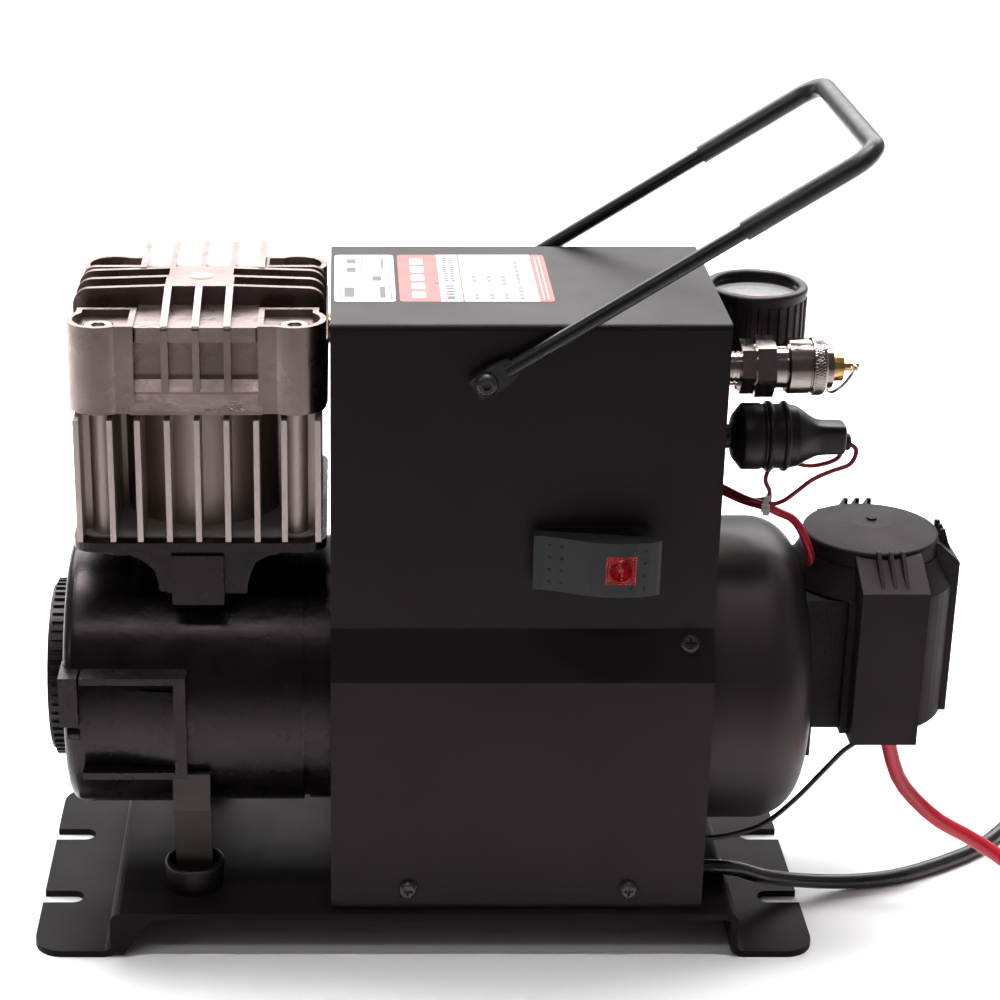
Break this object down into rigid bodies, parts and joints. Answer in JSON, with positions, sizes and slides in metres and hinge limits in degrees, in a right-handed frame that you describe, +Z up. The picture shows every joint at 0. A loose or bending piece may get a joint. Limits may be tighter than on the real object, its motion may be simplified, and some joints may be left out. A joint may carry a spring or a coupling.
{
  "type": "piston air compressor",
  "caption": "Portable 12 V oil-free piston air compressor with finned cylinder, round motor, sheet housing, carrying handle, gauge, quick coupler, rocker switch and coiled battery leads.",
  "frame": {"origin": "middle of the base plate on the floor, which is the centre of the four foot slots", "axes": "+X along the crankshaft towards the relay, +Y to the back, +Z up"},
  "size_m": [0.5978, 0.1889, 0.3467],
  "materials": {
    "powder_coat": "satin",
    "black_casting": "satin",
    "black_plastic": "satin",
    "grey_plastic": "matte",
    "rubber": "matte",
    "red_lens": "gloss",
    "cast_aluminium": "satin",
    "machined_steel": "satin",
    "nickel": "gloss",
    "brass": "satin",
    "winding": "satin",
    "ferrite": "matte",
    "felt": "matte",
    "seal": "matte",
    "nylon": "satin",
    "clear": "gloss",
    "red_insulation": "satin",
    "black_insulation": "satin"
  },
  "bodies": {
    "frame": {"base_plate": "powder_coat", "motor_cradle": "powder_coat", "housing_cover": "powder_coat", "end_panels": "powder_coat", "cover_screws": "machined_steel", "support_straps": "powder_coat", "support_cups": "black_plastic", "pivot_hardware": "machined_steel", "switch_body": "black_plastic", "crankcase": "black_casting", "crankcase_cover": "black_casting", "intake_cap": "black_plastic", "intake_filter": "felt", "motor_adapter": "powder_coat", "gaskets": "seal", "finned_cylinder": "cast_aluminium", "valve_plate": "machined_steel", "discharge_reed": "machined_steel", "cylinder_head": "cast_aluminium", "head_bolts": "machined_steel", "motor_can": "powder_coat", "field_magnets": "ferrite", "shaft_bearings": "machined_steel", "brush_gear": "black_plastic", "relay_housing": "grey_plastic", "relay_cap": "grey_plastic", "relay_coil": "winding", "discharge_pipe": "brass", "manifold_block": "cast_aluminium", "coupler_body": "nickel", "relief_plug": "brass", "gauge_fitting": "brass", "gauge_case": "powder_coat", "gauge_boot": "rubber", "gauge_lens": "clear", "pressure_switch": "black_plastic", "signal_wires": "red_insulation", "cable_tie": "nylon", "red_lead": "red_insulation", "black_lead": "black_insulation", "red_coil": "red_insulation", "black_coil": "black_insulation", "red_terminal": "brass", "black_terminal": "brass"},
    "handle": {"handle_bail": "powder_coat", "handle_grip": "rubber"},
    "paddle": {"switch_paddle": "black_plastic", "switch_lens": "red_lens"},
    "rotor": {"rotor_shaft": "machined_steel", "armature": "winding", "commutator": "winding", "crank_disc": "machined_steel"},
    "piston": {"piston_rod": "machined_steel", "cup_seal": "seal", "crank_bearing": "machined_steel"},
    "sleeve": {"coupler_sleeve": "nickel"},
    "relief": {"relief_stem": "brass"},
    "ring": {"pull_ring": "nickel"},
    "needle": {"gauge_needle": "red_lens"},
    "plunger": {"relay_plunger": "machined_steel"}
  },
  "joints": [
    {"name": "handle_swing", "type": "hinge", "parent": "frame", "child": "handle", "pos_m": [0.0214, 0, 0.2517], "axis": [0, -1, 0], "range_deg": [-55, 130]},
    {"name": "rocker_tilt", "type": "hinge", "parent": "frame", "child": "paddle", "pos_m": [0.0663, -0.051, 0.1778], "axis": [0, 0, 1], "range_deg": [0, 17.2]},
    {"name": "shaft_spin", "type": "hinge", "parent": "frame", "child": "rotor", "pos_m": [0, 0, 0.102], "axis": [1, 0, 0], "continuous": true},
    {"name": "piston_travel", "type": "slide", "parent": "frame", "child": "piston", "axis": [0, 0, 1], "range_m": [0, 0.028]},
    {"name": "sleeve_slide", "type": "slide", "parent": "frame", "child": "sleeve", "axis": [-1, 0, 0], "range_m": [0, 0.004], "stiffness_N_per_m": 800},
    {"name": "relief_pull", "type": "slide", "parent": "frame", "child": "relief", "axis": [1, 0, 0], "range_m": [0, 0.0025], "stiffness_N_per_m": 800},
    {"name": "ring_swing", "type": "hinge", "parent": "relief", "child": "ring", "pos_m": [0.1723, -0.015, 0.2436], "axis": [0, -1, 0], "range_deg": [0, 90]},
    {"name": "needle_turn", "type": "hinge", "parent": "frame", "child": "needle", "pos_m": [0.137, 0.02, 0.26], "axis": [0, 0, -1], "range_deg": [0, 270], "stiffness_Nm_per_rad": 0.0001},
    {"name": "plunger_travel", "type": "slide", "parent": "frame", "child": "plunger", "axis": [0, 0, -1], "range_m": [0, 0.003], "stiffness_N_per_m": 800, "springref_m": -0.003}
  ]
}
